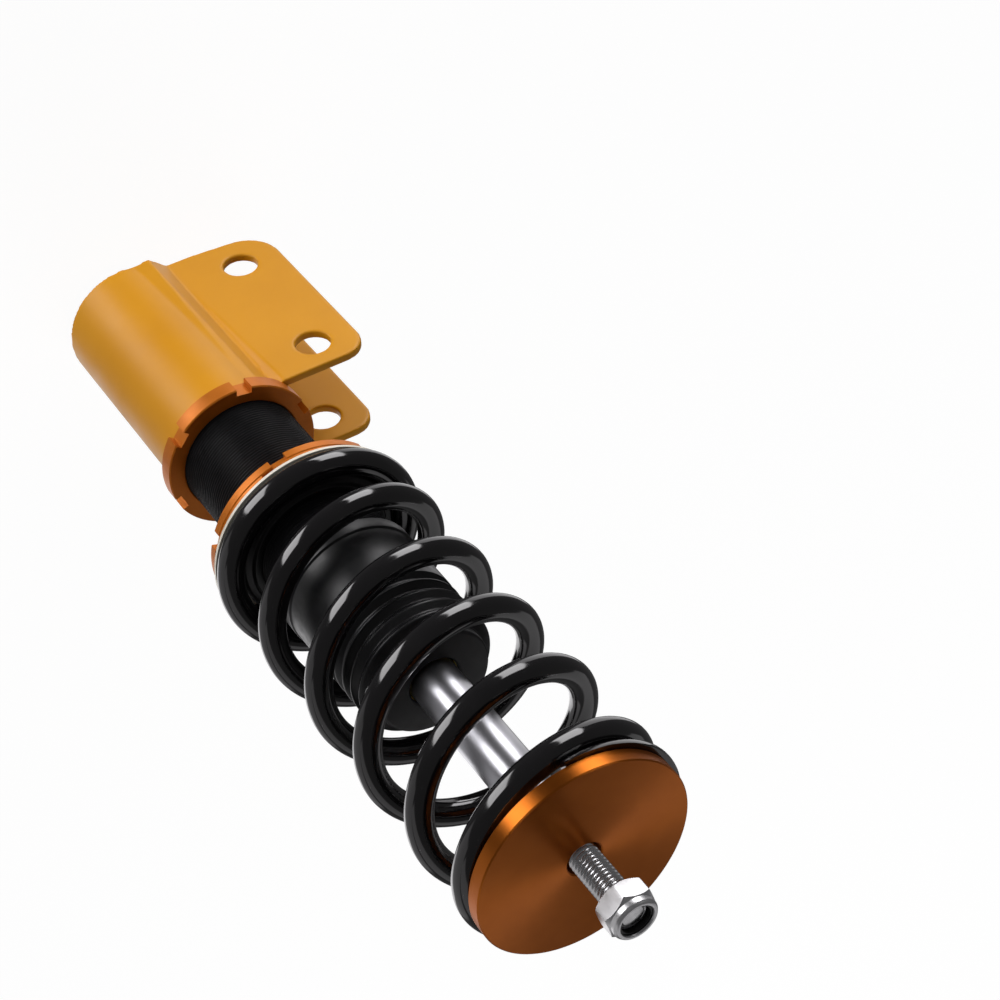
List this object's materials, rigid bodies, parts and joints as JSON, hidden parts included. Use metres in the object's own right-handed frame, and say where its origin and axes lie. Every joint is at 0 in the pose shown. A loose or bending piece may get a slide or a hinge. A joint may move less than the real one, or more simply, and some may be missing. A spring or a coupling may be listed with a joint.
{
  "type": "coilover suspension strut",
  "caption": "Height-adjustable coilover strut: two-ear knuckle bracket, threaded body with notched rings, coil spring, dust boot, chromed rod, disc seat and locking nut",
  "frame": {"origin": "on the strut axis at the centre of the upper spring seat's top face", "axes": "+Z runs along the strut from the knuckle bracket to the rod nut; +X points from the strut axis to the free edges of the knuckle ears; +Y lies along the knuckle bolts"},
  "size_m": [0.1145, 0.0922, 0.4095],
  "materials": {
    "gold_paint": "warm golden yellow semi-gloss paint on steel",
    "orange_anodised": "orange anodised aluminium, satin",
    "bronze_anodised": "deep orange-brown anodised aluminium, turned satin face",
    "black_thread": "black coated steel, fine thread, low gloss",
    "black_spring": "gloss black powder coat on spring steel",
    "washer_cream": "cream slip washer, satin",
    "boot_rubber": "black moulded rubber, satin",
    "bump_foam": "yellow microcellular foam",
    "rod_chrome": "hard chrome on the rod, bright steel thread on the stud",
    "zinc_steel": "bright zinc plated steel",
    "plain_steel": "bare machined steel",
    "nylon_black": "black nylon",
    "seal_rubber": "black nitrile rubber",
    "plain_alu": "bare machined aluminium",
    "bush_bronze": "bronze bearing bush",
    "ptfe_band": "filled PTFE band"
  },
  "bodies": {
    "bracket": {"knuckle_bracket": "gold_paint"},
    "lower_ring": {"lower_lock_ring": "orange_anodised"},
    "strut_body": {"strut_tube": "black_thread", "pressure_tube": "plain_steel", "base_plug": "plain_steel", "base_seal": "seal_rubber", "gas_screw": "zinc_steel", "rod_guide": "plain_alu", "guide_bush": "bush_bronze", "oil_seal": "seal_rubber", "gland_nut": "plain_steel", "gland_seal": "seal_rubber", "dust_boot": "boot_rubber", "bump_stop": "bump_foam"},
    "gas_piston": {"floating_piston": "plain_alu", "floating_piston_seal": "seal_rubber"},
    "spring_stack": {"perch_washer": "washer_cream", "spring_locator": "nylon_black", "main_spring": "black_spring"},
    "perch": {"spring_perch": "orange_anodised"},
    "perch_lock": {"perch_lock_ring": "orange_anodised"},
    "piston_ring": {"piston_band": "ptfe_band"},
    "rod": {"piston_rod": "rod_chrome", "rebound_stop": "nylon_black", "rebound_washer": "plain_steel", "rebound_shims": "plain_steel", "piston": "plain_steel", "compression_shims": "plain_steel", "piston_nut": "plain_steel"},
    "upper_seat": {"upper_spring_seat": "bronze_anodised"},
    "nut_carrier": {"nut_insert": "nylon_black"},
    "nut": {"rod_nut": "zinc_steel"}
  },
  "joints": [
    {"name": "height_adjust", "type": "slide", "parent": "bracket", "child": "strut_body", "axis": [0, 0, 1], "range_m": [-0.01, 0.03]},
    {"name": "lower_ring_travel", "type": "slide", "parent": "bracket", "child": "lower_ring", "axis": [0, 0, 1], "range_m": [0, 0.015]},
    {"name": "gas_piston_travel", "type": "slide", "parent": "strut_body", "child": "gas_piston", "axis": [0, 0, 1], "range_m": [-0.018, 0.0005]},
    {"name": "perch_travel", "type": "slide", "parent": "strut_body", "child": "spring_stack", "axis": [0, 0, 1], "range_m": [-0.02, 0]},
    {"name": "perch_turn", "type": "hinge", "parent": "spring_stack", "child": "perch", "pos_m": [0, 0, -0.205], "axis": [0, 0, 1], "range_deg": [-4801, 1]},
    {"name": "perch_lock_turn", "type": "hinge", "parent": "spring_stack", "child": "perch_lock", "pos_m": [0, 0, -0.209], "axis": [0, 0, 1], "range_deg": [-4801, 1]},
    {"name": "rod_stroke", "type": "slide", "parent": "strut_body", "child": "piston_ring", "axis": [0, 0, 1], "range_m": [-0.075, 0], "stiffness_N_per_m": 52000, "springref_m": 0.0055, "deforming": ["main_spring"]},
    {"name": "rod_turn", "type": "hinge", "parent": "piston_ring", "child": "rod", "pos_m": [0, 0, -0.1], "axis": [0, 0, 1], "continuous": true},
    {"name": "upper_seat_turn", "type": "hinge", "parent": "rod", "child": "upper_seat", "pos_m": [0, 0, 0], "axis": [0, 0, 1], "continuous": true},
    {"name": "nut_travel", "type": "slide", "parent": "rod", "child": "nut_carrier", "axis": [0, 0, 1], "range_m": [-0.0205, 0.004]},
    {"name": "nut_turn", "type": "hinge", "parent": "nut_carrier", "child": "nut", "pos_m": [0, 0, 0.025], "axis": [0, 0, 1], "range_deg": [-4218, 824]}
  ],
  "couplings": [
    {"joint": "gas_piston_travel", "follows": "rod_stroke", "ratio": 0.2268},
    {"joint": "perch_turn", "follows": "perch_travel", "rad_per_m": 4188.8},
    {"joint": "perch_lock_turn", "follows": "perch_travel", "rad_per_m": 4188.8},
    {"joint": "nut_turn", "follows": "nut_travel", "rad_per_m": 3590.4}
  ]
}
